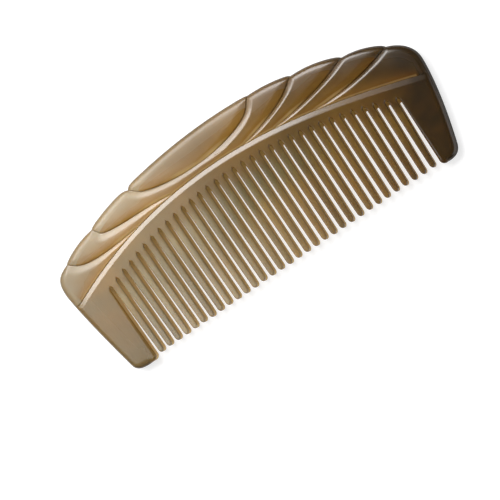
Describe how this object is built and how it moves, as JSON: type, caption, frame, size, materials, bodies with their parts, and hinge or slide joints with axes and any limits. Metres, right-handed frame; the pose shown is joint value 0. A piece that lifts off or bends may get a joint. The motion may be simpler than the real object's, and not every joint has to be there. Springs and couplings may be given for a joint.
{
  "type": "hair comb",
  "caption": "One-piece comb with an arched spine carved as leaf veins, fine round-tipped teeth for hair and scalp, and a wide guard tooth at each end.",
  "frame": {"origin": "centre of the comb's outline, on the plane of the flat back", "axes": "+X along the length, +Y from the tips of the teeth up to the carved spine, +Z out of the carved face"},
  "size_m": [0.16, 0.0624, 0.0065],
  "materials": {
    "horn": "polished horn"
  },
  "bodies": {
    "root": {"comb": "horn"}
  },
  "joints": []
}
